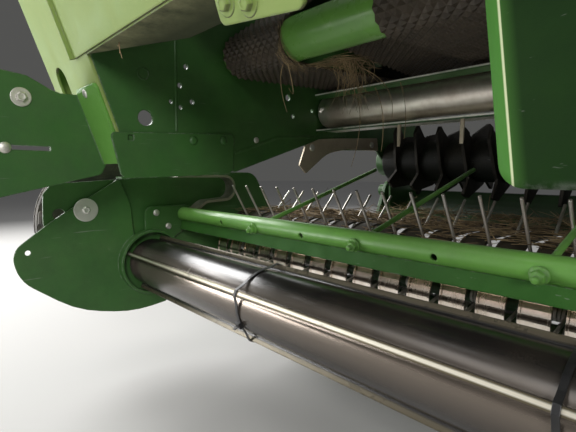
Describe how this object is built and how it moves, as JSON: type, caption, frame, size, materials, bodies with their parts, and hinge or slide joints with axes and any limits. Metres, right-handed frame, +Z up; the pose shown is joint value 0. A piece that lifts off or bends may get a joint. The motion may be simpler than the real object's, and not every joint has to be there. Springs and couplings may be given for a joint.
{
  "type": "round baler pickup and crop intake",
  "caption": "Front crop intake of a round baler: tined pickup reel behind stripper bands, ribbed crop press roller with rods, side frames, rolls and belts.",
  "frame": {"origin": "centre of the four holes in the rear flanges of the side sheets, where the rest of the baler bolts on", "axes": "+X to the right of the picture, +Y rearwards into the bale chamber, +Z up"},
  "size_m": [2.824, 1.336, 0.9968],
  "materials": {
    "frame_green": "satin",
    "light_green": "satin",
    "bracket_zinc": "satin",
    "belt_rubber": "matte",
    "dark_roll": "satin",
    "smooth_roll": "polished",
    "band_steel": "polished",
    "reel_paint": "satin",
    "tine_steel": "satin",
    "crop_roller": "gloss",
    "rim_paint": "satin",
    "rotor_steel": "satin",
    "tyre_rubber": "matte"
  },
  "bodies": {
    "intake_frame": {"side_sheet_left": "frame_green", "side_sheet_right": "frame_green", "box_plate_left": "frame_green", "box_plate_right": "frame_green", "front_arm_left": "light_green", "front_arm_right": "light_green", "slotted_strut_left": "light_green", "slotted_strut_right": "light_green", "front_panel": "light_green", "cross_beam": "frame_green", "centre_post": "frame_green", "upper_scraper": "frame_green", "lower_scraper": "frame_green", "guide_bracket_left": "bracket_zinc", "guide_bracket_right": "bracket_zinc", "guide_strips": "bracket_zinc", "feed_floor": "frame_green", "belts_front": "belt_rubber", "belts_back": "belt_rubber"},
    "front_belt_roll": {"front_belt_roll": "light_green"},
    "middle_belt_roll": {"middle_belt_roll": "dark_roll"},
    "rear_belt_roll": {"rear_belt_roll": "dark_roll"},
    "upper_belt_roll": {"upper_belt_roll": "dark_roll"},
    "smooth_roll": {"smooth_roll": "smooth_roll"},
    "feed_rotor": {"rotor_tube": "dark_roll", "rotor_tines": "rotor_steel"},
    "pickup": {"end_plate_left": "frame_green", "end_plate_right": "frame_green", "pickup_beam": "frame_green", "hanger_arm_left": "frame_green", "hanger_arm_right": "frame_green", "stripper_bands": "band_steel", "band_rails": "frame_green", "wheel_arm_left": "frame_green", "wheel_arm_right": "frame_green"},
    "reel": {"reel_shaft": "reel_paint", "tine_bars": "reel_paint", "tines": "tine_steel"},
    "crop_press": {"nose_plate_left": "frame_green", "nose_plate_right": "frame_green", "press_arm_left": "frame_green", "press_arm_right": "frame_green", "press_tube": "light_green", "press_lip": "frame_green", "press_strap_left": "light_green", "press_strap_right": "light_green", "compressor_rods": "light_green"},
    "crop_roller": {"crop_roller": "crop_roller"},
    "gauge_wheel_left": {"gauge_rim_left": "rim_paint", "gauge_tyre_left": "tyre_rubber"},
    "gauge_wheel_right": {"gauge_rim_right": "rim_paint", "gauge_tyre_right": "tyre_rubber"}
  },
  "joints": [
    {"name": "pickup_lowering", "type": "hinge", "parent": "intake_frame", "child": "pickup", "pos_m": [0, -0.09, -0.15], "axis": [1, 0, 0], "range_deg": [0, 18]},
    {"name": "crop_press_lift", "type": "hinge", "parent": "pickup", "child": "crop_press", "pos_m": [0, -0.964, -0.193], "axis": [1, 0, 0], "range_deg": [0, 8]},
    {"name": "reel_turn", "type": "hinge", "parent": "pickup", "child": "reel", "pos_m": [0, -0.48, -0.299], "axis": [1, 0, 0], "continuous": true},
    {"name": "crop_roller_turn", "type": "hinge", "parent": "crop_press", "child": "crop_roller", "pos_m": [0, -0.8, -0.342], "axis": [1, 0, 0], "continuous": true},
    {"name": "gauge_wheel_left_turn", "type": "hinge", "parent": "pickup", "child": "gauge_wheel_left", "pos_m": [0, -0.83, -0.25], "axis": [1, 0, 0], "continuous": true},
    {"name": "gauge_wheel_right_turn", "type": "hinge", "parent": "pickup", "child": "gauge_wheel_right", "pos_m": [0, -0.83, -0.25], "axis": [1, 0, 0], "continuous": true},
    {"name": "front_belt_roll_turn", "type": "hinge", "parent": "intake_frame", "child": "front_belt_roll", "pos_m": [0, -0.733, 0.154], "axis": [1, 0, 0], "continuous": true},
    {"name": "middle_belt_roll_turn", "type": "hinge", "parent": "intake_frame", "child": "middle_belt_roll", "pos_m": [0, -0.612, 0.2], "axis": [1, 0, 0], "continuous": true},
    {"name": "rear_belt_roll_turn", "type": "hinge", "parent": "intake_frame", "child": "rear_belt_roll", "pos_m": [0, -0.23, 0.178], "axis": [1, 0, 0], "continuous": true},
    {"name": "upper_belt_roll_turn", "type": "hinge", "parent": "intake_frame", "child": "upper_belt_roll", "pos_m": [0, -0.42, 0.385], "axis": [1, 0, 0], "continuous": true},
    {"name": "smooth_roll_turn", "type": "hinge", "parent": "intake_frame", "child": "smooth_roll", "pos_m": [0, -0.44, 0.066], "axis": [1, 0, 0], "continuous": true},
    {"name": "feed_rotor_turn", "type": "hinge", "parent": "intake_frame", "child": "feed_rotor", "pos_m": [0, -0.13, -0.056], "axis": [1, 0, 0], "continuous": true}
  ]
}
